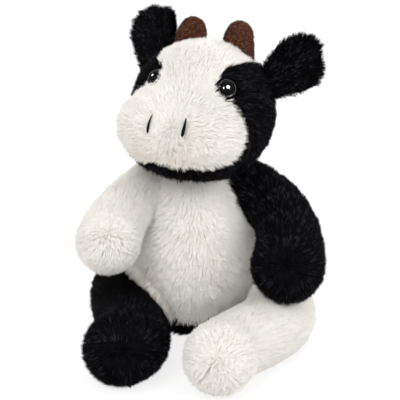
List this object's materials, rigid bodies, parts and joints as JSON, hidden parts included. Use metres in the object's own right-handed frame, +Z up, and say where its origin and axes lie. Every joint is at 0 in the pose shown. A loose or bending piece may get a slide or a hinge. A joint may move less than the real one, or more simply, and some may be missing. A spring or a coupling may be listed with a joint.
{
  "type": "plush cow",
  "caption": "Sitting stuffed toy cow in black and cream long-pile cloth, with felt horns, cupped ears and legs stretched forward.",
  "frame": {"origin": "on the floor, under the middle of the seat", "axes": "+Z up, -Y the way the body faces, +X the toy's own left"},
  "size_m": [0.1648, 0.1985, 0.2134],
  "materials": {
    "black_pile": "long brushed pile, nearly black",
    "white_pile": "long brushed pile, warm cream",
    "brown_felt": "dense felt",
    "black_thread": "satin stitch with a slight sheen",
    "fibre_fill": "loose polyester fibre, never seen",
    "black_plastic": "polished",
    "washer_plastic": "as moulded"
  },
  "bodies": {
    "torso": {"back_panel": "black_pile", "belly_panel": "white_pile", "torso_stuffing": "fibre_fill"},
    "head": {"head_cover": "black_pile", "face_panel": "white_pile", "head_stuffing": "fibre_fill", "horn_left": "brown_felt", "horn_right": "brown_felt", "eye_left": "black_plastic", "eye_right": "black_plastic", "eye_washer_left": "washer_plastic", "eye_washer_right": "washer_plastic", "nostril_left": "black_thread", "nostril_right": "black_thread"},
    "ear_left": {"ear_left_back": "black_pile", "ear_left_lining": "black_pile"},
    "ear_right": {"ear_right_back": "black_pile", "ear_right_lining": "black_pile"},
    "arm_left": {"arm_left_cover": "black_pile", "arm_left_stuffing": "fibre_fill"},
    "arm_right": {"arm_right_cover": "white_pile", "arm_right_stuffing": "fibre_fill"},
    "leg_left": {"leg_left_cover": "white_pile", "leg_left_stuffing": "fibre_fill"},
    "leg_right": {"leg_right_cover": "black_pile", "leg_right_stuffing": "fibre_fill"},
    "tail": {"tail": "black_pile", "tail_tuft": "black_pile"}
  },
  "joints": [
    {"name": "neck_turn", "type": "hinge", "parent": "torso", "child": "head", "pos_m": [0, 0.0065, 0.126], "axis": [0, 0, 1], "range_deg": [-15, 15], "stiffness_Nm_per_rad": 0.1},
    {"name": "arm_left_swing", "type": "hinge", "parent": "torso", "child": "arm_left", "pos_m": [0.036, 0.019, 0.1], "axis": [0, 0, 1], "range_deg": [0, 40], "stiffness_Nm_per_rad": 0.04},
    {"name": "arm_right_swing", "type": "hinge", "parent": "torso", "child": "arm_right", "pos_m": [-0.036, 0.019, 0.1], "axis": [0, 0, -1], "range_deg": [0, 40], "stiffness_Nm_per_rad": 0.04},
    {"name": "leg_left_splay", "type": "hinge", "parent": "torso", "child": "leg_left", "pos_m": [0.051, 0.015, 0.022], "axis": [0, 0, 1], "range_deg": [0, 25], "stiffness_Nm_per_rad": 0.05},
    {"name": "leg_right_splay", "type": "hinge", "parent": "torso", "child": "leg_right", "pos_m": [-0.051, 0.015, 0.022], "axis": [0, 0, -1], "range_deg": [0, 25], "stiffness_Nm_per_rad": 0.05},
    {"name": "ear_left_flop", "type": "hinge", "parent": "head", "child": "ear_left", "pos_m": [0.05002, -0.00722, 0.17375], "axis": [0.4669, -0.2458, -0.8495], "range_deg": [-20, 20], "stiffness_Nm_per_rad": 0.005},
    {"name": "ear_right_flop", "type": "hinge", "parent": "head", "child": "ear_right", "pos_m": [-0.02365, 0.02722, 0.17833], "axis": [0.7718, -0.5309, 0.3499], "range_deg": [-20, 20], "stiffness_Nm_per_rad": 0.005},
    {"name": "tail_swing", "type": "hinge", "parent": "torso", "child": "tail", "pos_m": [0, 0.05652, 0.04], "axis": [0, 1, 0], "range_deg": [-30, 30]}
  ]
}
